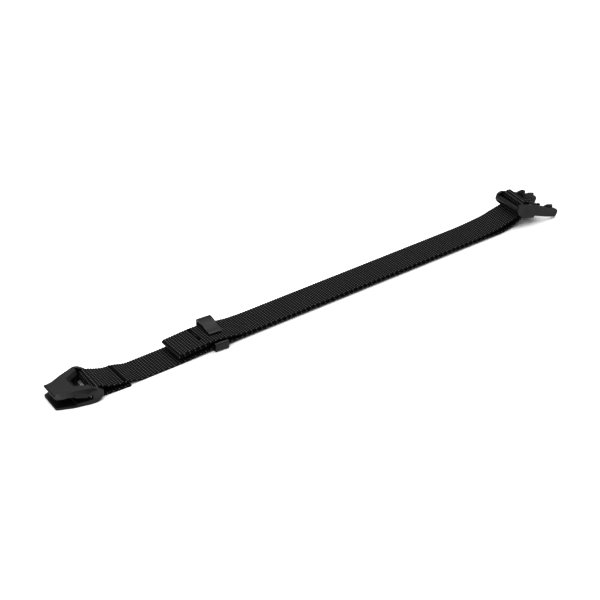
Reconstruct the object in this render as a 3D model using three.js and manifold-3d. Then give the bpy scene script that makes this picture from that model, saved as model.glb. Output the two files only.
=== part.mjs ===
// Adjustable webbing strap for mountain gear: a spring-jaw hook at one end, the male half of a
// side-release buckle with a built-in webbing adjuster at the other, and a sliding keeper that
// holds the loose tail. Millimetres, +Z up. The strap lies along +X, from the hook to the buckle.
import * as THREE from 'three';
import { ConvexGeometry } from 'three/addons/geometries/ConvexGeometry.js';
import * as BufferGeometryUtils from 'three/addons/utils/BufferGeometryUtils.js';
import Module from 'manifold-3d';

const wasm = await Module();
wasm.setup();

// ---- Driving dimensions ----
const GAP = 0.3; // clearance between pieces that touch on the real strap
const WEB_WIDTH = 25.4; // one-inch webbing
const WEB_THICK = 1.6;
const WEB_HALF = WEB_THICK / 2;
const TURN_STEPS = 14; // straight steps in each turn of the webbing round a bar

// The origin is on the ground under the middle of the whole strap's box.
const MIDDLE = new THREE.Vector2(0.75, -0.97);

// Hook: in its own frame x = 0 is its bar, x runs back towards the webbing, and z is height
const HOOK_YAW = THREE.MathUtils.degToRad(-3.5);
const HOOK_BAR = new THREE.Vector3(-207.5, 0.4, 6.4);
const HOOK_BAR_RADIUS = 2;
const HOOK_TIP_X = -32.9;
const HOOK_REAR_X = 3;
const HOOK_TOP_TIP = 11.5;
const HOOK_TOP_SLOT = 12.9;
const SLOT_END_X = -6.5; // where the spring jaw joins the cheeks and flexes
const SLOT_FLOOR_Z = 3.7;
const LOWER_JAW_TOP = 1.8;
const CHEEK_INNER = 13.6; // half width of the space that the webbing loop fills
const LOOP_SPACE_X = -6.6; // front of that space, where the lower jaw's plate stops

// Webbing route in side view
const GROUND_Z = WEB_HALF + 0.03; // centreline on the ground, with room for a smooth line to dip
const LOOP_RADIUS = HOOK_BAR_RADIUS + GAP + WEB_HALF + 0.2; // centreline round the hook's bar
const LOOP_END_X = -182; // where the sewn-down ply ends
const TACK_X = -186;
const FOLD_X = -165; // the bend in the single ply, and the joint's axis
const FOLD_CLEAR = 1.6; // half the space left for the bend
const LIFT = 1.2; // height of the double strap's underside, above the keeper's foot
const PLY_SPACE = 1.05; // air between the main ply and the tail
const YAW_START_X = 180; // the webbing turns to the buckle's yaw between these two
const YAW_FULL_X = 203;
const SLIDE_END_X = 150; // the double strap is level from the keeper to here
const SECTION_X = 178; // where the main ply and the tail meet the turn round the buckle's bar
const HEM_STITCH_X = -116.5;

// Keeper
const KEEPER_X = -102.3;
const KEEPER_LENGTH = 11.4;
const KEEPER_FOOT = 0.9;
const KEEPER_INNER = 13.8; // half width inside
const KEEPER_WALL = 1.9;
const KEEPER_TOP = 13.6;
const KEEPER_YAW = THREE.MathUtils.degToRad(-5);

// Buckle: its own frame has x backwards from the front bar and z up through the frame
const BUCKLE_YAW = THREE.MathUtils.degToRad(-6.5);
const BUCKLE_PITCH = THREE.MathUtils.degToRad(15);
const BUCKLE_ROLL = THREE.MathUtils.degToRad(-2.5); // lower on the keeper's tall side
const BUCKLE_AXIS = new THREE.Vector3(208.5, 0.1, 18.05); // middle of the adjusting bar
const BUCKLE_HALF = 15.85;
const CHEEK_THICK = 2.5;
const ADJUST_BAR = { x: 10.2, z: 4.9, radius: 2.1 };
const FRONT_BAR = { x: 2.4, z: 1.6, radius: 2.1 };
const TURN_RADIUS = 3.8; // centreline of the webbing round the adjusting bar, a little slack
const ARM_ROOT_X = 21.6; // where each release arm leaves the frame
const ARM_THICK = 2.6;
const TONGUE_HALF = 11;
const TONGUE_END_X = 28.6;
const RIB_COUNT = 6;

// Stitching bars that stand for the sewn thread
const STITCH = { length: 23, width: 1.8, height: 0.5 };

const PLASTIC_BLACK = 0x1b1b1d;
const WEBBING_BLACK = 0x202022;
const THREAD_BLACK = 0x0c0c0d;

// ---- Helpers ----
function toSolid(geometry) {
  const bare = geometry.clone();
  bare.deleteAttribute('normal');
  bare.deleteAttribute('uv');
  const merged = BufferGeometryUtils.mergeVertices(bare, 1e-4);
  const vertProperties = Float32Array.from(merged.attributes.position.array);
  const triVerts = Uint32Array.from(merged.index.array);
  return new wasm.Manifold(new wasm.Mesh({ numProp: 3, vertProperties, triVerts }));
}

function toGeometry(solid) {
  const mesh = solid.getMesh();
  const geometry = new THREE.BufferGeometry();
  geometry.setAttribute('position', new THREE.BufferAttribute(Float32Array.from(mesh.vertProperties), 3));
  geometry.setIndex(new THREE.BufferAttribute(Uint32Array.from(mesh.triVerts), 1));
  geometry.computeVertexNormals();
  return geometry;
}

function shapeOf(points) {
  return new THREE.Shape(points.map(([x, y]) => new THREE.Vector2(x, y)));
}

// A side-view outline (x, z) carried across the width, from y = low to y = high.
function acrossY(shape, low, high) {
  const geometry = new THREE.ExtrudeGeometry(shape, { depth: high - low, bevelEnabled: false });
  geometry.rotateX(Math.PI / 2);
  geometry.translate(0, high, 0);
  return geometry;
}

// A plan outline (x, y) carried upwards, from z = low to z = high.
function upZ(shape, low, high) {
  const geometry = new THREE.ExtrudeGeometry(shape, { depth: high - low, bevelEnabled: false });
  geometry.translate(0, 0, low);
  return geometry;
}

// A round bar along Y.
function barAlongY(x, z, radius, low, high, sides = 16) {
  const geometry = new THREE.CylinderGeometry(radius, radius, high - low, sides);
  geometry.translate(x, (low + high) / 2, z);
  return geometry;
}

// The convex solid that just holds the given points.
function convexSolid(points) {
  return toSolid(new ConvexGeometry(points.map(([x, y, z]) => new THREE.Vector3(x, y, z))));
}

// A half outline (x, half width), carried over to the other side of the centreline.
function mirrored(half) {
  return [...half.map(([x, y]) => [x, -y]), ...half.map(([x, y]) => [x, y]).reverse()];
}

// A smooth line through hand-set points (x, z), with some straight steps for each span.
function smoothLine(points, steps = 4) {
  const curve = new THREE.SplineCurve(points.map(([x, z]) => new THREE.Vector2(x, z)));
  return curve.getPoints((points.length - 1) * steps);
}

// A closed outline with each corner rounded by a quadratic arc of the given reach.
function roundedShape(points, reach) {
  const shape = new THREE.Shape();
  const corners = points.map(([x, y]) => new THREE.Vector2(x, y));
  corners.forEach((corner, i) => {
    const before = corners[(i + corners.length - 1) % corners.length];
    const after = corners[(i + 1) % corners.length];
    const cut = Math.min(reach, corner.distanceTo(before) / 2.1, corner.distanceTo(after) / 2.1);
    const start = corner.clone().lerp(before, cut / corner.distanceTo(before));
    const end = corner.clone().lerp(after, cut / corner.distanceTo(after));
    if (i === 0) {
      shape.moveTo(start.x, start.y);
    } else {
      shape.lineTo(start.x, start.y);
    }
    shape.quadraticCurveTo(corner.x, corner.y, end.x, end.y);
  });
  shape.closePath();
  return shape;
}

function arcPoints(cx, cz, radius, fromDeg, toDeg, steps) {
  return Array.from({ length: steps + 1 }, (_, i) => {
    const angle = THREE.MathUtils.degToRad(fromDeg + ((toDeg - fromDeg) * i) / steps);
    return new THREE.Vector2(cx + radius * Math.cos(angle), cz + radius * Math.sin(angle));
  });
}

// One edge of a ribbon: the centreline moved sideways by a distance, mitred at each point.
function offsetLine(line, distance) {
  return line.map((point, i) => {
    const before = line[Math.max(i - 1, 0)];
    const after = line[Math.min(i + 1, line.length - 1)];
    const into = point.clone().sub(before).normalize();
    const out = after.clone().sub(point).normalize();
    const first = i === 0 ? out : into;
    const last = i === line.length - 1 ? into : out;
    const tangent = first.clone().add(last).normalize();
    const stretch = 1 / Math.max(0.5, tangent.dot(last));
    const normal = new THREE.Vector2(-tangent.y, tangent.x);
    return point.clone().addScaledVector(normal, distance * stretch);
  });
}

function ribbonShape(line, thickness) {
  const left = offsetLine(line, thickness / 2);
  const right = offsetLine(line, -thickness / 2).reverse();
  return new THREE.Shape([...left, ...right]);
}

// Turns the end of the webbing about an upright line through the pivot and shifts it to the
// pivot's y, so that it meets a yawed bar square on: fully at and past x = full, and not at
// all on the other side of x = none.
function yawEnd(geometry, none, full, pivot, yaw) {
  const position = geometry.attributes.position;
  for (let i = 0; i < position.count; i += 1) {
    const along = (position.getX(i) - none) / (full - none);
    const share = THREE.MathUtils.smoothstep(along, 0, 1);
    const angle = yaw * share;
    const x = position.getX(i) - pivot.x;
    const y = position.getY(i);
    position.setX(i, pivot.x + x * Math.cos(angle) - y * Math.sin(angle));
    position.setY(i, share * pivot.y + y * Math.cos(angle) + x * Math.sin(angle));
  }
  return geometry;
}

function piece(name, geometry, color, roughness) {
  const material = new THREE.MeshStandardMaterial({ color, roughness, metalness: 0 });
  const mesh = new THREE.Mesh(geometry, material);
  mesh.name = name;
  return mesh;
}

// ---- Hook ----
// The plan outline is narrow at the tip and widens in a slight curve to the cheeks.
function hookPlan() {
  const half = [[HOOK_TIP_X, 9.8], [-20.8, 14.2], [-9.7, 16.4], [-3.2, 17.1], [HOOK_REAR_X, 16]];
  return toSolid(upZ(roundedShape(mirrored(half), 1.6), -1, HOOK_TOP_SLOT + 3));
}

// The top face rises in a straight line from the tip to the slot's end.
function hookTopAt(x) {
  const share = (x - HOOK_TIP_X) / (SLOT_END_X - HOOK_TIP_X);
  return HOOK_TOP_TIP + (HOOK_TOP_SLOT - HOOK_TOP_TIP) * share;
}

// The window in the spring jaw: upright walls below, and a wide bevel round its front and sides.
function cutWindow(jaw) {
  const inner = mirrored([[-13.7, 4.6], [-4, 9.9]]);
  const outer = mirrored([[-18.2, 5.7], [-4, 12.4]]);
  const bevelDepth = 2.4;
  const low = hookTopAt(-13.7) - bevelDepth;
  const high = HOOK_TOP_SLOT + 0.6;
  const bevel = convexSolid([
    ...inner.map(([x, y]) => [x, y, low]),
    ...outer.map(([x, y]) => [x, y, high]),
  ]);
  return jaw.subtract(toSolid(upZ(roundedShape(inner, 1), 0, high))).subtract(bevel);
}

// Slopes both long edges of the top face. Each station gives the half width of the flat top,
// how far out the slope goes to reach the plan outline, and how far it drops by then.
function cutTopChamfers(solid) {
  const stations = [
    { x: -36, flat: 8.8, reach: 1.4, drop: 1.4 },
    { x: -29.4, flat: 7, reach: 4, drop: 2.6 },
    { x: -18.7, flat: 11.7, reach: 2.7, drop: 3 },
    { x: -7, flat: 15.5, reach: 1.1, drop: 2.4 },
    { x: HOOK_REAR_X + 1, flat: 16.6, reach: 1.1, drop: 2.4 },
  ];
  const section = (at, side) => {
    const top = hookTopAt(at.x) + 0.05;
    const out = side * (at.flat + 2 * at.reach);
    return [[at.x, side * at.flat, top], [at.x, out, top], [at.x, out, top - 2 * at.drop]];
  };
  let cut = solid;
  [-1, 1].forEach((side) => {
    stations.slice(1).forEach((station, i) => {
      cut = cut.subtract(convexSolid([...section(stations[i], side), ...section(station, side)]));
    });
  });
  return cut;
}

// Lower jaw's plate with a step, the slot's end, and the two rounded cheeks that hold the bar.
function makeHookBase(plan, wide) {
  const side = new THREE.Shape();
  side.moveTo(HOOK_TIP_X + 0.1, 0.4);
  side.lineTo(HOOK_TIP_X + 0.5, 0);
  side.lineTo(-7.5, 0);
  side.bezierCurveTo(-3.5, 0.2, -0.5, 1.4, HOOK_REAR_X, 3.8);
  side.lineTo(HOOK_REAR_X, 7.6);
  side.bezierCurveTo(1.6, 8.9, -2, 11.4, SLOT_END_X + GAP, HOOK_TOP_SLOT);
  side.lineTo(SLOT_END_X + GAP, SLOT_FLOOR_Z);
  side.lineTo(-17.8, 2.9);
  side.lineTo(-18.8, LOWER_JAW_TOP);
  side.lineTo(HOOK_TIP_X + 0.1, LOWER_JAW_TOP);
  side.closePath();
  const loopSpace = acrossY(shapeOf([
    [LOOP_SPACE_X, -2], [HOOK_REAR_X + 3, -2], [HOOK_REAR_X + 3, 16], [LOOP_SPACE_X, 16],
  ]), -CHEEK_INNER, CHEEK_INNER);
  const reach = CHEEK_INNER + 1;
  const bar = barAlongY(0, HOOK_BAR.z, HOOK_BAR_RADIUS, -reach, reach);
  const shell = toSolid(acrossY(side, -wide, wide)).intersect(plan).subtract(toSolid(loopSpace));
  return cutTopChamfers(shell).add(toSolid(bar));
}

// Upper plate with a retaining bump under it, joined to the cheeks only at its rear.
function makeHookJaw(plan, wide) {
  const side = shapeOf([
    [SLOT_END_X, HOOK_TOP_SLOT], [HOOK_TIP_X + 0.8, HOOK_TOP_TIP], [HOOK_TIP_X, 10.7],
    [HOOK_TIP_X + 0.4, 9.1], [HOOK_TIP_X + 1.4, 8.6], [-19.4, 9], [-18.8, 8],
    [-10.8, 6.3], [-9.8, 7.1], [SLOT_END_X, 7.1],
  ]);
  return cutTopChamfers(cutWindow(toSolid(acrossY(side, -wide, wide)).intersect(plan)));
}

function makeHook() {
  const plan = hookPlan();
  const wide = 20;
  const group = new THREE.Group();
  group.position.set(HOOK_BAR.x, HOOK_BAR.y, 0);
  group.rotation.z = HOOK_YAW;
  group.add(piece('hook_base', toGeometry(makeHookBase(plan, wide)), PLASTIC_BLACK, 0.42));
  group.add(piece('hook_spring_jaw', toGeometry(makeHookJaw(plan, wide)), PLASTIC_BLACK, 0.42));
  return group;
}

// ---- Webbing ----
function webbing(line) {
  return acrossY(ribbonShape(line, WEB_THICK), -WEB_WIDTH / 2, WEB_WIDTH / 2);
}

// The sewn loop: the ply rises over its own sewn-down end, turns round the hook's bar from
// above and comes back under it along the ground.
function makeHookLoop() {
  const line = [
    ...smoothLine([
      [FOLD_X - FOLD_CLEAR, GROUND_Z], [-172, 0.95], [-176.5, 1.8], [-182.5, 3.7],
      [-187, 4.3], [-192.5, 5.1], [-199, 6.9], [-203.4, 8.6],
    ], 3),
    ...arcPoints(HOOK_BAR.x, HOOK_BAR.z, LOOP_RADIUS, 68, 180, TURN_STEPS),
    ...smoothLine([
      [-211, 4.4], [-210.1, 2.3], [-207.4, 1.1], [-203.5, GROUND_Z], [-196, GROUND_Z],
      [LOOP_END_X, GROUND_Z],
    ], 3),
  ];
  return yawEnd(webbing(line), -180, -202, HOOK_BAR, HOOK_YAW);
}

const MAIN_Z = LIFT + WEB_HALF;
const TAIL_Z = MAIN_Z + WEB_THICK + PLY_SPACE;

// The long ply, from the bend to just before the buckle.
function makeMainPly() {
  const line = [
    ...smoothLine([
      [FOLD_X + FOLD_CLEAR, GROUND_Z], [-148, GROUND_Z], [-134, 1.1], [-122, 1.6], [-111, MAIN_Z],
    ], 3),
    ...smoothLine([[SLIDE_END_X, MAIN_Z], [165, 1.95], [SECTION_X, 1.7]], 3),
  ];
  return webbing(line);
}

// The same webbing turns up over the adjusting bar and comes back under the front bar.
function makeBuckleTurn() {
  const line = [
    ...smoothLine([
      [SECTION_X + GAP, 1.7], [184, 1.6], [190, 1.9], [196, 2.8], [201, 4.4], [205, 7.2], [208.7, 10.8],
    ], 3),
    ...arcPoints(BUCKLE_AXIS.x, BUCKLE_AXIS.z, TURN_RADIUS, -40, 172, TURN_STEPS),
    ...smoothLine([
      [204.7, 15.6], [203.9, 12.6], [202, 10.4], [198.5, 9], [193, 7.8], [187, 7.1], [SECTION_X + GAP, 6],
    ], 3),
  ];
  return yawEnd(webbing(line), YAW_START_X, YAW_FULL_X, BUCKLE_AXIS, BUCKLE_YAW);
}

// The tail lies on the main ply, passes through the keeper, and ends in a sewn fold.
function makeTail() {
  const foldRadius = (WEB_THICK + GAP) / 2;
  const hem = { x: -138.2, z: 7.9 };
  const under = 2 * foldRadius;
  const line = [
    ...smoothLine([[SECTION_X, 6], [168, 5.3], [158, 4.9], [SLIDE_END_X, TAIL_Z]], 3),
    ...smoothLine([
      [-66, TAIL_Z], [-76, 4.85], [-84, 5.4], [-92, 6.6], [-100, 7.8], [-108, 8.5],
      [-114, 8.9], [-124, 8.6], [hem.x + 1.2, hem.z],
    ], 3),
    ...arcPoints(hem.x, hem.z - foldRadius, foldRadius, 90, 270, 6),
    ...smoothLine([[hem.x + 1.2, hem.z - under], [-124, 8.6 - under], [-112.6, 8.9 - under]], 3),
  ];
  return webbing(line);
}

// ---- Keeper ----
// An open loop in end view: foot under the strap, short lip on the near side, tall wall on
// the far side, and an arm that arches over the plies and presses on them.
function makeKeeper() {
  const inner = KEEPER_INNER;
  const outer = KEEPER_INNER + KEEPER_WALL;
  const top = KEEPER_TOP;
  const outline = new THREE.Shape();
  outline.moveTo(-inner, 0);
  outline.lineTo(inner, 0);
  outline.quadraticCurveTo(outer, 0, outer, KEEPER_WALL);
  outline.lineTo(outer - 0.2, top - 2);
  outline.quadraticCurveTo(outer - 0.6, top, inner - 1.6, top);
  outline.bezierCurveTo(8, top, 5.4, 12.7, 2, 11.6);
  outline.quadraticCurveTo(-1.6, 11, -4.4, 11);
  outline.quadraticCurveTo(-6.4, 10.4, -4.6, 9.8);
  outline.bezierCurveTo(0, 9.75, 4, 10.1, 6.6, 10.9);
  outline.quadraticCurveTo(9.4, top - 1.8, inner - 1.8, top - 1.8);
  outline.quadraticCurveTo(inner - 0.4, top - 2, inner - 0.2, 10);
  outline.lineTo(inner - 0.1, KEEPER_FOOT);
  outline.lineTo(-inner + 0.1, KEEPER_FOOT);
  outline.lineTo(-inner + 0.1, 5.8);
  outline.lineTo(-inner + 0.3, 6.5);
  outline.quadraticCurveTo(-inner + 0.1, 7.1, -inner, 7.2);
  outline.quadraticCurveTo(-outer, 7.1, -outer, 5.8);
  outline.lineTo(-outer, KEEPER_WALL);
  outline.quadraticCurveTo(-outer, 0, -inner, 0);
  const geometry = new THREE.ExtrudeGeometry(outline, {
    depth: KEEPER_LENGTH,
    bevelEnabled: false,
    curveSegments: 6,
  });
  geometry.rotateX(Math.PI / 2);
  geometry.rotateZ(Math.PI / 2);
  geometry.translate(-KEEPER_LENGTH / 2, 0, 0);
  return geometry;
}

// ---- Buckle ----
// Outline of one side of the buckle in side view: a deep rounded cheek. It runs on past the
// arm's root, where the frame is cut.
function cheekShape() {
  const beyond = ARM_ROOT_X + 4;
  return roundedShape([
    [0.6, 0], [1, 4.9], [4.8, 7.1], [11, 6.8], [beyond, 5.3],
    [beyond, -3], [20.4, -3.1], [19.5, -4.8], [9.2, -5], [6.6, -4.7], [2.3, -2.2],
  ], 1.6);
}

// Outline of one release arm. It starts ahead of the arm's root too, and is cut there.
function armShape() {
  const ahead = ARM_ROOT_X - 4;
  return roundedShape([
    [ahead, 6.14], [37.8, 4], [43.6, 2.8], [45.1, 0.9], [44.8, -1.7],
    [43.8, -4.3], [31.5, -3.9], [ahead, -2.8],
  ], 1.2);
}

// A slab of the side view between two widths given as distances from the centreline.
function slabs(shape, from, to) {
  return toSolid(acrossY(shape, from, to)).add(toSolid(acrossY(shape, -to, -from)));
}

// Two cheeks with a boss on each, the two webbing bars, a cross member and the ribbed tongue.
function makeFrame() {
  const inner = BUCKLE_HALF - CHEEK_THICK;
  const reach = inner + 0.8;
  const boss = { x: 18.1, z: 3.4, radius: 3.4, proud: 1.2 };
  let frame = slabs(cheekShape(), inner, BUCKLE_HALF).trimByPlane([-1, 0, 0], -ARM_ROOT_X);
  [-1, 1].forEach((side) => {
    const from = Math.min(side * (inner - boss.proud), side * (inner + 0.2));
    const round = barAlongY(boss.x, boss.z, boss.radius, from, from + boss.proud + 0.2, 20);
    frame = frame.add(toSolid(round));
  });
  [FRONT_BAR, ADJUST_BAR].forEach((bar) => {
    frame = frame.add(toSolid(barAlongY(bar.x, bar.z, bar.radius, -reach, reach)));
  });
  const cross = roundedShape([[16.6, 4.3], [21, 4.3], [21, 0.6], [16.6, 0.6]], 0.8);
  frame = frame.add(toSolid(acrossY(cross, -reach, reach)));
  const tongue = roundedShape([[17, 4.2], [TONGUE_END_X, 3.4], [TONGUE_END_X, 1.8], [17, 0.8]], 0.5);
  frame = frame.add(toSolid(acrossY(tongue, -TONGUE_HALF, TONGUE_HALF)));
  const rib = shapeOf([
    [17.2, 3], [TONGUE_END_X - 0.2, 3], [TONGUE_END_X - 0.6, 4.1], [17.2, 5.1],
  ]);
  const ribHalf = 0.8;
  const span = 2 * (TONGUE_HALF - 1);
  for (let i = 0; i < RIB_COUNT; i += 1) {
    const y = -span / 2 + (i * span) / (RIB_COUNT - 1);
    frame = frame.add(toSolid(acrossY(rib, y - ribHalf, y + ribHalf)));
  }
  const rampFrom = TONGUE_HALF - 1.4;
  const rampTo = TONGUE_HALF + 0.2;
  const lowRamp = shapeOf([[18, 3.2], [27.8, 3.2], [27.2, 6], [25.4, 6], [18, 4]]);
  const tallRamp = roundedShape([[16, 3.2], [27.8, 3.2], [26.4, 9.6], [23, 9.8], [17, 7]], 0.8);
  frame = frame.add(toSolid(acrossY(lowRamp, -rampTo, -rampFrom)));
  return frame.add(toSolid(acrossY(tallRamp, rampFrom, rampTo)));
}

// A release arm with the raised latch that catches in the buckle's female half.
function makeArm(side) {
  const inner = BUCKLE_HALF - ARM_THICK;
  const latchProud = 1;
  const from = (low, high) => (side > 0 ? [low, high] : [-high, -low]);
  const whole = toSolid(acrossY(armShape(), ...from(inner, BUCKLE_HALF)));
  const blade = whole.trimByPlane([1, 0, 0], ARM_ROOT_X + GAP);
  const latch = shapeOf([[29, 3.8], [30, 2], [36, 2], [40, 3.2], [39.4, 6], [34, 6]]);
  return blade.add(toSolid(acrossY(latch, ...from(inner - latchProud, inner + 0.4))));
}

function makeBuckle() {
  const group = new THREE.Group();
  group.position.copy(BUCKLE_AXIS);
  group.rotation.set(BUCKLE_ROLL, BUCKLE_PITCH, BUCKLE_YAW, 'ZYX');
  const inner = new THREE.Group();
  inner.position.set(-ADJUST_BAR.x, 0, -ADJUST_BAR.z);
  inner.add(piece('buckle_frame', toGeometry(makeFrame()), PLASTIC_BLACK, 0.42));
  inner.add(piece('buckle_arm_near', toGeometry(makeArm(-1)), PLASTIC_BLACK, 0.42));
  inner.add(piece('buckle_arm_far', toGeometry(makeArm(1)), PLASTIC_BLACK, 0.42));
  group.add(inner);
  return group;
}

// ---- Stitching ----
// A thin bar just above the webbing where the rows of thread are.
function makeStitch(name, x, z, slope) {
  const geometry = new THREE.BoxGeometry(STITCH.width, STITCH.length, STITCH.height);
  const stitch = piece(name, geometry, THREAD_BLACK, 0.7);
  stitch.position.set(x, 0, z);
  stitch.rotation.y = slope;
  return stitch;
}

function placedKeeper() {
  const keeper = piece('keeper', makeKeeper(), PLASTIC_BLACK, 0.42);
  keeper.position.set(KEEPER_X, 0, 0);
  keeper.rotation.z = KEEPER_YAW;
  return keeper;
}

const model = new THREE.Group();
model.position.set(-MIDDLE.x, -MIDDLE.y, 0);
model.add(makeHook());
model.add(piece('webbing_hook_loop', makeHookLoop(), WEBBING_BLACK, 0.85));
model.add(piece('webbing_main_ply', makeMainPly(), WEBBING_BLACK, 0.85));
model.add(piece('webbing_buckle_turn', makeBuckleTurn(), WEBBING_BLACK, 0.85));
model.add(piece('webbing_tail', makeTail(), WEBBING_BLACK, 0.85));
model.add(placedKeeper());
model.add(makeBuckle());
model.add(makeStitch('loop_bar_tack', TACK_X, 5.75, THREE.MathUtils.degToRad(9)));
model.add(makeStitch('hem_stitching', HEM_STITCH_X, 10.3, 0));

export default model;
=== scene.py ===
# %% [markdown]
# # An adjustable webbing strap
# A length of black one-inch webbing joins a moulded spring-jaw hook to the male half of a
# side-release buckle. The webbing turns round the buckle's adjusting bar and comes back over
# itself, and a C-shaped keeper holds the doubled part together. The strap lies along X with the
# hook at its negative end, and the ground is z = 0.

import math

import bmesh
import bpy
import numpy as np
from mathutils import Matrix, Vector


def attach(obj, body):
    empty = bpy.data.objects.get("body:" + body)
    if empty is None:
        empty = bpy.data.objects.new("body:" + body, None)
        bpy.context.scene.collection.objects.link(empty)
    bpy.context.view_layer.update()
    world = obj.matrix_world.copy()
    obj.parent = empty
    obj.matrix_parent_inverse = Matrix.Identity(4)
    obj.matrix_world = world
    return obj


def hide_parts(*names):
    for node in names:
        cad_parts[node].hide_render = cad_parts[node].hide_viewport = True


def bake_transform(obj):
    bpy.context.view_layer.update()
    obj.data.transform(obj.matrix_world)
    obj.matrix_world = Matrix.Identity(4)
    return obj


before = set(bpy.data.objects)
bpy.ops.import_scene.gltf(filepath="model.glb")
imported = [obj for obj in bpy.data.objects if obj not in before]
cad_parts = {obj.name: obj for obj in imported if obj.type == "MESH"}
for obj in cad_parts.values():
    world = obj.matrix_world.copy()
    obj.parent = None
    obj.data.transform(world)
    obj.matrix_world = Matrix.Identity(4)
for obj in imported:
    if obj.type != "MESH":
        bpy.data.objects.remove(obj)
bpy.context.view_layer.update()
print("CAD nodes:", sorted(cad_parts))

# %% [markdown]
# ## Sizes that the pieces share
# All of them are in millimetres, in the same layout as the solid model: its origin was moved to
# the middle of the whole strap at the end, so every point here gets the same move.

# %%
MM = 0.001
MIDDLE = np.array([0.75, -0.97, 0.0])
WEB_WIDTH = 25.4
WEB_HALF = 0.8
GROUND_Z = WEB_HALF + 0.03
RIB_PITCH = 2.33
HOOK_BAR = np.array([-207.5, 0.4, 6.4])
HOOK_YAW = math.radians(-3.5)
LOOP_RADIUS = 3.3
BUCKLE_AXIS = np.array([208.5, 0.1, 18.05])
BUCKLE_YAW = math.radians(-6.5)
BUCKLE_PITCH = math.radians(15)
BUCKLE_ROLL = math.radians(-2.5)
ADJUST_BAR = np.array([10.2, 0.0, 4.9])
TURN_RADIUS = 3.8
ARM_ROOT_X = 21.6
SLOT_END_X = -6.5
GAP = 0.3


def in_frame(points):
    """Points in millimetres in the strap's own layout, as metres in the shared frame."""
    return (np.asarray(points, float) - MIDDLE) * MM


# %% [markdown]
# ## A few tools for meshes and materials
# A grid of points that closes on itself in one direction makes every tube-like piece here. The
# material helper adds one node with its settings and its links, so each finish reads as a list.

# %%
def linear(hex_colour):
    """An sRGB colour such as "1b1b1d" as a linear RGBA tuple."""
    parts = [int(hex_colour[i : i + 2], 16) / 255 for i in (0, 2, 4)]
    return tuple(c / 12.92 if c <= 0.04045 else ((c + 0.055) / 1.055) ** 2.4 for c in parts) + (1.0,)


def mesh_object(name, points, quads, smooth=True):
    """An object at the origin from an array of points in metres and a list of faces."""
    mesh = bpy.data.meshes.new(name)
    mesh.from_pydata(np.asarray(points).tolist(), [], quads)
    mesh.polygons.foreach_set("use_smooth", [smooth] * len(mesh.polygons))
    mesh.update()
    thing = bpy.data.objects.new(name, mesh)
    bpy.context.scene.collection.objects.link(thing)
    return thing


def ring_faces(rings, around, base=0):
    """Quads of a tube of some rings with the same number of points around, and its two end caps."""
    i, j = np.meshgrid(np.arange(rings - 1), np.arange(around), indexing="ij")
    after = (j + 1) % around
    quads = np.stack(
        [i * around + j, (i + 1) * around + j, (i + 1) * around + after, i * around + after], axis=-1
    )
    faces = (quads.reshape(-1, 4) + base).tolist()
    first = (base + np.arange(around)).tolist()
    last = (base + (rings - 1) * around + np.arange(around))[::-1].tolist()
    return faces + [first, last]


def new_material(name):
    """An empty node material with its output."""
    material = bpy.data.materials.new(name)
    material.use_nodes = True
    material.node_tree.nodes.clear()
    add(material, "ShaderNodeOutputMaterial", "out")
    return material


def add(material, kind, name, settings=None, values=None, links=None):
    """One node: its settings, the values of its inputs, and the inputs it takes from others.

    A link is written as input: (name of the other node, its output).
    """
    node = material.node_tree.nodes.new(kind)
    node.name = name
    for key, value in (settings or {}).items():
        setattr(node, key, value)
    for key, value in (values or {}).items():
        node.inputs[key].default_value = value
    for key, (other, output) in (links or {}).items():
        source = material.node_tree.nodes[other].outputs[output]
        material.node_tree.links.new(source, node.inputs[key])
    return node


def connect(material, other, output, target, key):
    """Links one node's output to another's input, by their names."""
    nodes = material.node_tree.nodes
    material.node_tree.links.new(nodes[other].outputs[output], nodes[target].inputs[key])


# %% [markdown]
# ## Moulded plastic
# The hook, the keeper and the buckle are injection moulded in black acetal or nylon. The tool's
# surface leaves an even grain that keeps the gloss soft, and handling leaves slightly shinier
# patches. The real grain is about 0.2 mm; it is drawn at about 0.6 mm, so that it still shows.

# %%
def moulded_plastic():
    """Black acetal with a fine mould grain and a faint unevenness in its gloss."""
    material = new_material("moulded_black_plastic")
    add(material, "ShaderNodeTexCoord", "place")
    grain = {"Scale": 1600.0, "Detail": 2.0, "Roughness": 0.55}
    add(material, "ShaderNodeTexNoise", "grain", values=grain, links={"Vector": ("place", "Object")})
    patches = {"Scale": 120.0, "Detail": 3.0, "Roughness": 0.5}
    add(material, "ShaderNodeTexNoise", "patches", values=patches, links={"Vector": ("place", "Object")})
    add(
        material,
        "ShaderNodeMapRange",
        "gloss",
        values={"From Min": 0.35, "From Max": 0.65, "To Min": 0.42, "To Max": 0.56},
        links={"Value": ("patches", "Fac")},
    )
    add(
        material,
        "ShaderNodeMix",
        "tone",
        settings={"data_type": "RGBA"},
        links={"Factor": ("patches", "Fac")},
    )
    tone = material.node_tree.nodes["tone"]
    dark, light = [socket for socket in tone.inputs if socket.type == "RGBA"]
    dark.default_value = linear("101011")
    light.default_value = linear("171718")
    add(
        material,
        "ShaderNodeBump",
        "relief",
        values={"Strength": 0.35, "Distance": 0.00006},
        links={"Height": ("grain", "Fac")},
    )
    add(
        material,
        "ShaderNodeBsdfPrincipled",
        "surface",
        values={"IOR": 1.48},
        links={"Roughness": ("gloss", "Result"), "Normal": ("relief", "Normal")},
    )
    colour = [socket for socket in tone.outputs if socket.type == "RGBA"][0]
    surface = material.node_tree.nodes["surface"]
    material.node_tree.links.new(colour, surface.inputs["Base Color"])
    connect(material, "surface", "BSDF", "out", "Surface")
    return material


plastic = moulded_plastic()
print("made", plastic.name)

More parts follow.
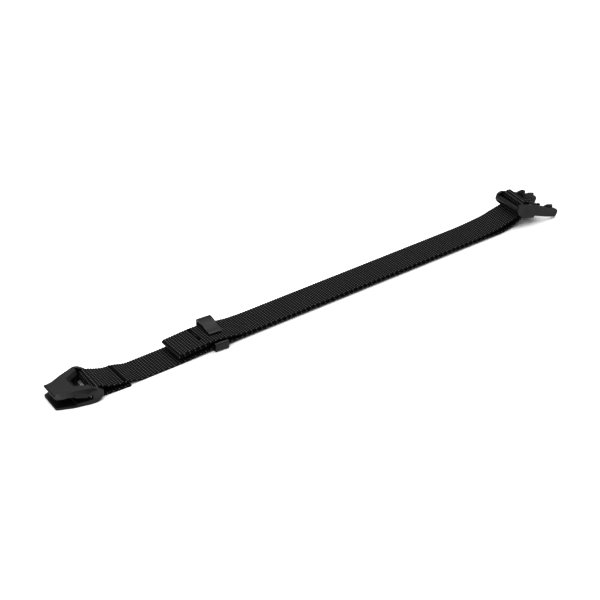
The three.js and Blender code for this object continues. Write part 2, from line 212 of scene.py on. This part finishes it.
# %% [markdown]
# ## Webbing
# The webbing is woven polypropylene or nylon: thick weft makes a rib across the strap about every
# 2.3 mm, and the warp ends pass over and under it in turn. The ribs are real relief in the mesh.
# The warp is drawn from the piece's own UV map: U counts warp ends across, V counts ribs along,
# so a sine across times a sine along gives the over-and-under of a plain weave. The same waves
# paint shade into the colour, and dim the gloss, between the yarns and in the grooves between ribs.

# %%
def woven_webbing():
    """Black filament yarn: soft sheen, the weave's own relief, and painted shade between yarns and ribs.
    """
    material = new_material("woven_black_webbing")
    add(material, "ShaderNodeUVMap", "cloth", settings={"uv_map": "weave"})
    add(material, "ShaderNodeSeparateXYZ", "parts", links={"Vector": ("cloth", "UV")})

    def maths(name, operation, first, second=None, value=None):
        links = {0: first}
        if second:
            links[1] = second
        values = {1: value} if value is not None else None
        add(material, "ShaderNodeMath", name, {"operation": operation}, values, links)

    maths("across_angle", "MULTIPLY", ("parts", "X"), value=math.pi)
    maths("along_angle", "MULTIPLY", ("parts", "Y"), value=math.pi)
    maths("across_wave", "SINE", ("across_angle", "Value"))
    maths("along_wave", "SINE", ("along_angle", "Value"))
    maths("over_under", "MULTIPLY", ("across_wave", "Value"), ("along_wave", "Value"))
    maths("gap_line", "ABSOLUTE", ("across_wave", "Value"))
    maths("yarn", "POWER", ("gap_line", "Value"), value=0.5)
    maths("lift", "MULTIPLY_ADD", ("over_under", "Value"), value=0.5)
    material.node_tree.nodes["lift"].inputs[2].default_value = 0.5
    maths("height", "MULTIPLY", ("lift", "Value"), ("yarn", "Value"))
    # Painted shade in the grooves between the ribs, from the wave along the strap
    maths("rib_line", "ABSOLUTE", ("along_wave", "Value"))
    maths("painted_rib_shade", "POWER", ("rib_line", "Value"), value=1.1)
    maths("painted_shade", "MULTIPLY", ("height", "Value"), ("painted_rib_shade", "Value"))
    add(material, "ShaderNodeTexCoord", "place")
    fuzz = {"Scale": 2500.0, "Detail": 2.0, "Roughness": 0.6}
    add(material, "ShaderNodeTexNoise", "fibres", values=fuzz, links={"Vector": ("place", "Object")})
    wear = {"Scale": 60.0, "Detail": 3.0, "Roughness": 0.55}
    add(material, "ShaderNodeTexNoise", "wear", values=wear, links={"Vector": ("place", "Object")})
    maths("fine", "MULTIPLY", ("fibres", "Fac"), value=0.25)
    maths("relief_height", "ADD", ("height", "Value"), ("fine", "Value"))
    add(
        material,
        "ShaderNodeBump",
        "relief",
        values={"Strength": 0.8, "Distance": 0.00035},
        links={"Height": ("relief_height", "Value")},
    )
    # Painted shade: near black between the yarns and in the rib grooves, dark grey on the crests
    add(material, "ShaderNodeValToRGB", "tone", links={"Fac": ("painted_shade", "Value")})
    ramp = material.node_tree.nodes["tone"].color_ramp
    ramp.elements[0].color = linear("050505")
    ramp.elements[1].color = linear("4c4c4e")
    # The same painted shade also dims the reflection between the yarns and in the rib grooves
    add(
        material,
        "ShaderNodeMapRange",
        "gloss_dimmed_in_shade",
        values={"From Min": 0.1, "From Max": 0.9, "To Min": 0.03, "To Max": 1.0},
        links={"Value": ("painted_shade", "Value")},
    )
    add(
        material,
        "ShaderNodeMapRange",
        "gloss",
        values={"From Min": 0.3, "From Max": 0.7, "To Min": 0.5, "To Max": 0.66},
        links={"Value": ("wear", "Fac")},
    )
    add(
        material,
        "ShaderNodeBsdfPrincipled",
        "surface",
        values={"IOR": 1.5},
        links={
            "Base Color": ("tone", "Color"),
            "Specular IOR Level": ("gloss_dimmed_in_shade", "Result"),
            "Roughness": ("gloss", "Result"),
            "Normal": ("relief", "Normal"),
        },
    )
    connect(material, "surface", "BSDF", "out", "Surface")
    return material


webbing_finish = woven_webbing()
print("made", webbing_finish.name)

# %% [markdown]
# ## Sewing thread
# Bonded nylon thread lies a little deeper in tone than the webbing. The twist of its plies gives
# it a fine slanted relief, drawn here as a wave along its length; the same wave paints shade into
# the colour, darker in the twist's grooves.

# %%
def sewing_thread():
    """Black bonded thread with a twist relief, and painted shade in the twist's grooves."""
    material = new_material("bonded_black_thread")
    add(material, "ShaderNodeTexCoord", "place")
    twist = {"Scale": 700.0, "Distortion": 1.5, "Detail": 1.0}
    add(material, "ShaderNodeTexWave", "twist", values=twist, links={"Vector": ("place", "Object")})
    add(
        material,
        "ShaderNodeBump",
        "relief",
        values={"Strength": 0.4, "Distance": 0.0001},
        links={"Height": ("twist", "Fac")},
    )
    # Painted shade: the colour follows the twist wave, darker in its grooves
    add(material, "ShaderNodeValToRGB", "tone", links={"Fac": ("twist", "Fac")})
    ramp = material.node_tree.nodes["tone"].color_ramp
    ramp.elements[0].color = linear("020202")
    ramp.elements[1].color = linear("070707")
    add(
        material,
        "ShaderNodeBsdfPrincipled",
        "surface",
        values={"IOR": 1.5, "Roughness": 0.6, "Specular IOR Level": 0.1},
        links={"Base Color": ("tone", "Color"), "Normal": ("relief", "Normal")},
    )
    connect(material, "surface", "BSDF", "out", "Surface")
    return material


thread_finish = sewing_thread()
print("made", thread_finish.name)

# %% [markdown]
# ## The webbing's route
# Seen from the side, the webbing is one long line of about 0.86 m. It starts at its sewn-down end
# under the hook's loop, goes round the hook's bar, lies on the ground, rises into the buckle,
# turns over the adjusting bar, and comes back on top of itself to the folded hem. Smooth spans
# are uniform Catmull-Rom splines through listed points, and the turns are arcs.

# %%
def smooth_span(points, steps=24):
    """Catmull-Rom through the points (x, z): each span's cubic uses its two neighbours."""
    p = np.array(points, float)
    before = np.vstack([p[:1], p[:-1]])[:-1]
    after = np.vstack([p[1:], p[-1:]])[1:]
    t = np.linspace(0, 1, steps, endpoint=False)[None, :, None]
    start, end = p[:-1, None], p[1:, None]
    v0 = (end - before[:, None]) / 2
    v1 = (after[:, None] - start) / 2
    line = (
        (2 * start - 2 * end + v0 + v1) * t**3
        + (-3 * start + 3 * end - 2 * v0 - v1) * t**2
        + v0 * t
        + start
    )
    return np.vstack([line.reshape(-1, 2), p[-1:]])


def arc(cx, cz, radius, start_deg, end_deg, steps=60):
    """Points of a circular arc in the side view, from one angle to another."""
    angle = np.radians(np.linspace(start_deg, end_deg, steps + 1))
    return np.stack([cx + radius * np.cos(angle), cz + radius * np.sin(angle)], axis=1)


def even_line(line, spacing):
    """The same line with points at equal distances along it, and its length."""
    step = np.linalg.norm(np.diff(line, axis=0), axis=1)
    keep = np.concatenate([[True], step > 1e-6])
    line = line[keep]
    at = np.concatenate([[0], np.cumsum(np.linalg.norm(np.diff(line, axis=0), axis=1))])
    count = int(round(at[-1] / spacing))
    wanted = np.linspace(0, at[-1], count + 1)
    return np.stack([np.interp(wanted, at, line[:, k]) for k in range(2)], axis=1), at[-1]


HEM_FOLD = (-138.2, 7.9)
HEM_RADIUS = 0.95
route = np.vstack(
    [
        smooth_span(
            [(-182, GROUND_Z), (-196, GROUND_Z), (-203.5, GROUND_Z)]
            + [(-207.4, 1.1), (-210.1, 2.3), (-211, 4.4)]
        ),
        arc(HOOK_BAR[0], HOOK_BAR[2], LOOP_RADIUS, 180, 68),
        smooth_span(
            [(-203.4, 8.6), (-199, 6.9), (-192.5, 5.1), (-187, 4.3), (-182.5, 3.7), (-176.5, 1.8)]
            + [(-172, 0.95), (-166.6, GROUND_Z), (-163.4, GROUND_Z), (-148, GROUND_Z), (-134, 1.1)]
            + [(-122, 1.75), (-111, 2.3)]
        ),
        smooth_span(
            [(150, 2.3), (165, 2.15), (178.3, 1.75), (184, 1.6), (190, 1.9), (196, 2.8), (201, 4.4)]
            + [(205, 7.2), (208.7, 10.8)]
        ),
        arc(BUCKLE_AXIS[0], BUCKLE_AXIS[2], TURN_RADIUS, -40, 172),
        smooth_span(
            [(204.7, 15.6), (203.9, 12.6), (202, 10.4), (198.5, 9), (193, 7.8), (187, 7.1), (178.3, 6)]
            + [(168, 5.25), (158, 4.7), (150, 4.4)]
        ),
        smooth_span(
            [(-66, 4.4), (-76, 4.7), (-84, 5.35), (-92, 6.6), (-100, 7.8), (-108, 8.5), (-114, 8.9)]
            + [(-124, 8.6), (-137, HEM_FOLD[1])]
        ),
        arc(HEM_FOLD[0], HEM_FOLD[1] - HEM_RADIUS, HEM_RADIUS, 90, 270, 24),
        smooth_span([(-137, 6.0), (-124, 6.7), (-112.6, 7.0)]),
    ]
)
RIB_STATIONS = 8
RIB_DEPTH = 0.42
SCALLOP = 0.4
EDGE_DEPTH = 0.7
WARP_ENDS = 26
RETURN_DRIFT = -1.5
DRIFT_LENGTH = 30
END_TAPER = 0.6
END_THINNEST = 0.25
centre, web_length = even_line(route, RIB_PITCH / RIB_STATIONS)
print("webbing length, mm:", round(web_length, 1), "stations:", len(centre))

# %% [markdown]
# ## One woven ribbon
# The section is a flat oval. Along the length its thickness swells with each rib and its edges
# scallop, because the weft turns back round the outer warp ends at every rib. Both cut ends are
# a little thinner, as the hot knife leaves them.

# %%
def section(flat_points=17, edge_points=5):
    """Half-width and half-thickness fractions round the ribbon's section, counted over the top.

    Across the flats the fraction runs evenly, and each edge is half an ellipse.
    """
    edge = EDGE_DEPTH / (WEB_WIDTH / 2)
    flat = np.linspace(-1 + edge, 1 - edge, flat_points)
    turn = np.linspace(0, np.pi, edge_points + 2)[1:-1]
    across = np.concatenate(
        [flat, 1 - edge + edge * np.sin(turn), flat[::-1], -1 + edge - edge * np.sin(turn)]
    )
    up = np.concatenate([np.ones(flat_points), np.cos(turn), -np.ones(flat_points), -np.cos(turn)])
    return across, up


# Where each end's turn starts and is full, the bar that it turns about, and its yaw
HOOK_TURN = (-180, -202, HOOK_BAR, HOOK_YAW)
BUCKLE_TURN = (180, 203, BUCKLE_AXIS, BUCKLE_YAW)


def woven_ribbon(name):
    """The ribbon along the route.

    A point is the centreline, plus across times half the width (with the edge's scallop), plus
    up along the side view's normal times half the thickness (with the rib's swell). The ends are
    then turned about upright lines through the two bars, by a smooth share of each end's yaw,
    and the sewn-down return ply drifts to the near side.
    """
    tangent = np.gradient(centre, axis=0)
    tangent /= np.linalg.norm(tangent, axis=1)[:, None]
    normal = np.stack([-tangent[:, 1], tangent[:, 0]], axis=1)
    at = np.linspace(0, web_length, len(centre))
    phase = 2 * np.pi * at / RIB_PITCH
    across, up = section()
    swell = np.abs(np.cos(phase / 2)) ** 0.6
    half_width = WEB_WIDTH / 2 - SCALLOP + SCALLOP * swell
    half_thick = WEB_HALF - RIB_DEPTH + RIB_DEPTH * swell
    half_thick *= np.clip(np.minimum(at, web_length - at) / END_TAPER, END_THINNEST, 1)
    x = centre[:, 0, None] + normal[:, 0, None] * up[None] * half_thick[:, None]
    z = centre[:, 1, None] + normal[:, 1, None] * up[None] * half_thick[:, None]
    drift = np.clip(1 - at / DRIFT_LENGTH, 0, 1) ** 2 * RETURN_DRIFT
    y = across[None] * half_width[:, None] + drift[:, None]
    x, y = yawed(x, y, *HOOK_TURN)
    x, y = yawed(x, y, *BUCKLE_TURN)
    points = in_frame(np.stack([x, y, z], axis=-1).reshape(-1, 3))
    thing = mesh_object(name, points, ring_faces(len(centre), len(across)))
    weave_uv(thing, at, across)
    return thing


def yawed(x, y, none, full, pivot, yaw):
    """Turns points about an upright line through the pivot, by a share that rises smoothly."""
    along = np.clip((x - none) / (full - none), 0, 1)
    share = along * along * (3 - 2 * along)
    angle = yaw * share
    dx = x - pivot[0]
    new_x = pivot[0] + dx * np.cos(angle) - y * np.sin(angle)
    new_y = share * pivot[1] + y * np.cos(angle) + dx * np.sin(angle)
    return new_x, new_y


def weave_uv(thing, at, across):
    """UV map "weave": U counts warp ends across the ribbon, and V counts ribs along it.

    V is a whole number in each groove between two ribs.
    """
    mesh = thing.data
    vertex = np.zeros(len(mesh.loops), np.int32)
    mesh.loops.foreach_get("vertex_index", vertex)
    around = len(across)
    u = (across[vertex % around] + 1) / 2 * WARP_ENDS
    v = at[vertex // around] / RIB_PITCH + 0.5
    layer = mesh.uv_layers.new(name="weave")
    layer.data.foreach_set("uv", np.stack([u, v], axis=1).astype(np.float32).ravel())


ribbon = woven_ribbon("woven_strap")
ribbon.data.materials.append(webbing_finish)
print("ribbon faces:", len(ribbon.data.polygons))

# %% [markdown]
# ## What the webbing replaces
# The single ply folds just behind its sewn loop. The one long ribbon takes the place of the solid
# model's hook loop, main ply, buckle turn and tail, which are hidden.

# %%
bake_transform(ribbon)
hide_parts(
    "webbing_hook_loop", "webbing_main_ply", "webbing_buckle_turn", "webbing_tail"
)

# %% [markdown]
# ## Moulded pieces
# Each moulding starts from its solid's mesh. Its loose doubles are merged and its flat faces made
# whole, and then every sharp edge gets the small radius that a mould leaves. Where one moulding
# is two solids in the model, because part of it flexes, the two meet in one plane: the gap is
# closed there, and the edges in that plane stay sharp so that the pieces run into each other.

# %%
SHARP = math.radians(26)
FLAT = math.radians(2)
DOUBLES = 2e-6  # metres
IN_PLANE = 0.02  # millimetres


def placed(origin, yaw, pitch=0.0, roll=0.0):
    """The matrix from a moulding's own layout in millimetres to metres in the shared frame."""
    turn = Matrix.Rotation(yaw, 4, "Z") @ Matrix.Rotation(pitch, 4, "Y") @ Matrix.Rotation(roll, 4, "X")
    return Matrix.Translation(Vector(in_frame(origin))) @ turn @ Matrix.Diagonal((MM, MM, MM, 1))


hook_place = placed((HOOK_BAR[0], HOOK_BAR[1], 0), HOOK_YAW)
buckle_place = placed(BUCKLE_AXIS, BUCKLE_YAW, BUCKLE_PITCH, BUCKLE_ROLL) @ Matrix.Translation(
    Vector(-ADJUST_BAR)
)


def moulding(name, node, radius, place=None, joined_from=None, joined_at=None):
    """A solid's mesh with rounded edges.

    joined_from is the x, in the moulding's own layout, of the end that meets the other half, and
    joined_at is the x that both halves reach.
    """
    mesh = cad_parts[node].data.copy()
    mesh.name = name
    form = bmesh.new()
    form.from_mesh(mesh)
    bmesh.ops.remove_doubles(form, verts=form.verts, dist=DOUBLES)
    joint_verts = set()
    if place is not None:
        back = place.inverted()
        for vert in form.verts:
            own = back @ vert.co
            if abs(own.x - joined_from) < IN_PLANE:
                own.x = joined_at
                vert.co = place @ own
                joint_verts.add(vert)
    bmesh.ops.dissolve_limit(form, angle_limit=FLAT, verts=form.verts, edges=form.edges)
    joint_verts = {vert for vert in joint_verts if vert.is_valid}
    layer = form.edges.layers.float.new("bevel_weight_edge")
    for edge in form.edges:
        in_joint = edge.verts[0] in joint_verts and edge.verts[1] in joint_verts
        angle = edge.calc_face_angle(0)
        edge[layer] = 1.0 if angle > SHARP and not in_joint else 0.0
    bmesh.ops.recalc_face_normals(form, faces=form.faces)
    form.to_mesh(mesh)
    form.free()
    mesh.polygons.foreach_set("use_smooth", [True] * len(mesh.polygons))
    mesh.set_sharp_from_angle(angle=SHARP)
    mesh.materials.clear()
    mesh.materials.append(plastic)
    thing = bpy.data.objects.new(name, mesh)
    bpy.context.scene.collection.objects.link(thing)
    bevel = thing.modifiers.new("edge_radius", "BEVEL")
    bevel.width = radius * MM
    bevel.segments = 3
    bevel.limit_method = "WEIGHT"
    bevel.harden_normals = True
    bevel.use_clamp_overlap = True
    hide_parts(node)
    print(name, "faces:", len(mesh.polygons))
    return thing


# %% [markdown]
# ## Hook
# The lower jaw, the two cheeks and the bar are one rigid moulding. The upper jaw springs: it
# bends near its root at the slot's end.

# %%
hook_meet = SLOT_END_X + GAP
hook_body = moulding("hook_moulding", "hook_base", 0.5, hook_place, hook_meet, hook_meet)
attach(hook_body, "hook")
hook_jaw = moulding("hook_upper_jaw", "hook_spring_jaw", 0.5, hook_place, SLOT_END_X, hook_meet)
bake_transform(hook_jaw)

# %% [markdown]
# ## Keeper
# It is a plain C of constant section with a short lip on one side and a long springy arm on the
# other, so rounding its edges is all that it needs.

# %%
keeper = moulding("keeper_clip", "keeper", 0.45)
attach(keeper, "keeper")

# %% [markdown]
# ## Buckle
# The frame carries the two bars, the cross member and the ribbed tongue. The release arms are
# one with the cheeks and bend at their roots.

# %%
buckle_frame = moulding(
    "buckle_moulding", "buckle_frame", 0.35, buckle_place, ARM_ROOT_X, ARM_ROOT_X
)
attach(buckle_frame, "buckle")
for side in ("near", "far"):
    arm = moulding(
        f"buckle_{side}_arm",
        f"buckle_arm_{side}",
        0.45,
        buckle_place,
        ARM_ROOT_X + GAP,
        ARM_ROOT_X,
    )
    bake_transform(arm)

# %% [markdown]
# ## Stitches
# A row of sewing is a line of short raised stitches of bonded thread with a dip between each.
# Each one is half a bent capsule whose ends sink into the webbing.

# %%
def stitches(name, starts, ends, rise, radius=0.42):
    """One mesh of many stitches, from arrays of start and end points in millimetres.

    Each stitch is a tube along the line from start to end. Its centre lifts by rise times a half
    sine, and its radius falls off to a third at both ends.
    """
    along = np.linspace(0, 1, 7)
    angle = np.linspace(0, 2 * np.pi, 8, endpoint=False)
    starts, ends = np.asarray(starts, float), np.asarray(ends, float)
    points, faces = [], []
    for start, end in zip(starts, ends):
        line = start + (end - start) * along[:, None]
        line[:, 2] += rise * np.sin(np.pi * along)
        side = np.cross((end - start) / np.linalg.norm(end - start), (0, 0, 1))
        size = radius * (0.35 + 0.65 * np.sin(np.pi * along).clip(0) ** 0.5)
        ring = (
            line[:, None]
            + size[:, None, None] * np.cos(angle)[None, :, None] * side
            + size[:, None, None] * np.sin(angle)[None, :, None] * np.array([0, 0, 1.0])
        )
        faces += ring_faces(len(along), len(angle), base=len(points) * len(along) * len(angle))
        points.append(in_frame(ring.reshape(-1, 3)))
    thing = mesh_object(name, np.vstack(points), faces)
    thing.data.materials.append(thread_finish)
    return thing


def top_of(x, low, high):
    """The height of the webbing's top face at x, on the part of the route between two heights."""
    height = centre[:, 1]
    near = (np.abs(centre[:, 0] - x) < 0.6) & (height > low) & (height < high)
    return height[near].mean() + WEB_HALF


# %% [markdown]
# The loop at the hook is closed by a bar tack across the full width, through both plies.

# %%
TACK_X = -186.0
rows = np.linspace(-12.0, 12.0, 49)
tack_x = TACK_X + np.where(np.arange(len(rows)) % 2, 1.0, -1.0)
tack_z = np.array([top_of(x, 3, 6) for x in tack_x]) - 0.12
tack_points = np.stack([tack_x, rows, tack_z], axis=1)
turned = yawed(tack_points[:, 0], tack_points[:, 1], *HOOK_TURN)
tack_points = np.stack([*turned, tack_z], axis=1)
tack = stitches("loop_bar_tack_thread", tack_points[:-1], tack_points[1:], 0.25)
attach(tack, "hook_end")
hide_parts("loop_bar_tack")

# %% [markdown]
# The folded hem is held by a shorter row on the far side of the strap, in longer stitches.

# %%
HEM_STITCH_X = -116.5
hem_z = top_of(HEM_STITCH_X, 7.5, 10)
HEM_PITCH = 2.2
HEM_STITCH = 1.7
row, y = np.meshgrid((-0.9, 0.0, 0.9), -5.25 + HEM_PITCH * np.arange(8), indexing="ij")
hem_starts = np.stack([HEM_STITCH_X + row, y, np.full_like(y, hem_z - 0.1)], axis=-1).reshape(-1, 3)
hem_ends = hem_starts + (0, HEM_STITCH, 0)
hem_thread = stitches("hem_stitching_thread", hem_starts, hem_ends, 0.22)
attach(hem_thread, "strap")
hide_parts("hem_stitching")

# %% [markdown]

# %% [markdown]
# ## Floor, light and camera
# The strap lies on a plain white floor in even studio light: a pale surround, a large soft lamp
# overhead, and a weaker one from the front left. The view is 33 degrees down from the hook's end.

# %%
def soft_lamp(name, place, target, size, power):
    """A square area lamp that faces its target."""
    light = bpy.data.lights.new(name, "AREA")
    light.shape = "SQUARE"
    light.size = size
    light.energy = power
    lamp = bpy.data.objects.new(name, light)
    direction = Vector(target) - Vector(place)
    turn = direction.to_track_quat("-Z", "Y").to_matrix().to_4x4()
    lamp.matrix_world = Matrix.Translation(Vector(place)) @ turn
    bpy.context.scene.collection.objects.link(lamp)
    return lamp


def floor_finish():
    """Matt white paper with a very faint mottle."""
    material = new_material("white_paper_floor")
    add(material, "ShaderNodeTexCoord", "place")
    add(
        material,
        "ShaderNodeTexNoise",
        "mottle",
        values={"Scale": 8.0, "Detail": 2.0},
        links={"Vector": ("place", "Object")},
    )
    add(material, "ShaderNodeValToRGB", "tone", links={"Fac": ("mottle", "Fac")})
    ramp = material.node_tree.nodes["tone"].color_ramp
    ramp.elements[0].color = (0.9, 0.9, 0.9, 1)
    ramp.elements[1].color = (0.93, 0.93, 0.93, 1)
    add(
        material,
        "ShaderNodeBsdfPrincipled",
        "surface",
        values={"Roughness": 0.9, "IOR": 1.3},
        links={"Base Color": ("tone", "Color")},
    )
    connect(material, "surface", "BSDF", "out", "Surface")
    return material


FLOOR_HALF = 12.0
corners = [(-1, -1), (1, -1), (1, 1), (-1, 1)]
floor = mesh_object(
    "paper_floor",
    [(x * FLOOR_HALF, y * FLOOR_HALF, -0.0002) for x, y in corners],
    [[0, 1, 2, 3]],
    smooth=False,
)
floor.data.materials.append(floor_finish())

world = bpy.data.worlds.new("studio")
bpy.context.scene.world = world
world.use_nodes = True
surround = world.node_tree.nodes["Background"]
surround.inputs["Color"].default_value = (1.0, 1.0, 1.0, 1.0)
surround.inputs["Strength"].default_value = 0.3
soft_lamp("overhead", (0.1, 0.1, 1.5), (0, 0, 0), 2.0, 27.0)
soft_lamp("front_left", (-1.0, -0.4, 0.9), (0, 0, 0), 0.6, 5.0)
view = bpy.context.scene.view_settings
view.view_transform = "Standard"
view.look = "High Contrast"

camera_place = Vector((-0.62575, -0.82003, 0.667))
camera_look = Vector((0.4974, 0.6752, -0.5446))
lens = bpy.data.cameras.new("camera")
lens.sensor_width = 36.0
lens.lens = 93.3
camera = bpy.data.objects.new("camera", lens)
camera.matrix_world = Matrix.Translation(camera_place) @ camera_look.to_track_quat(
    "-Z", "Y"
).to_matrix().to_4x4()
bpy.context.scene.collection.objects.link(camera)
bpy.context.scene.camera = camera
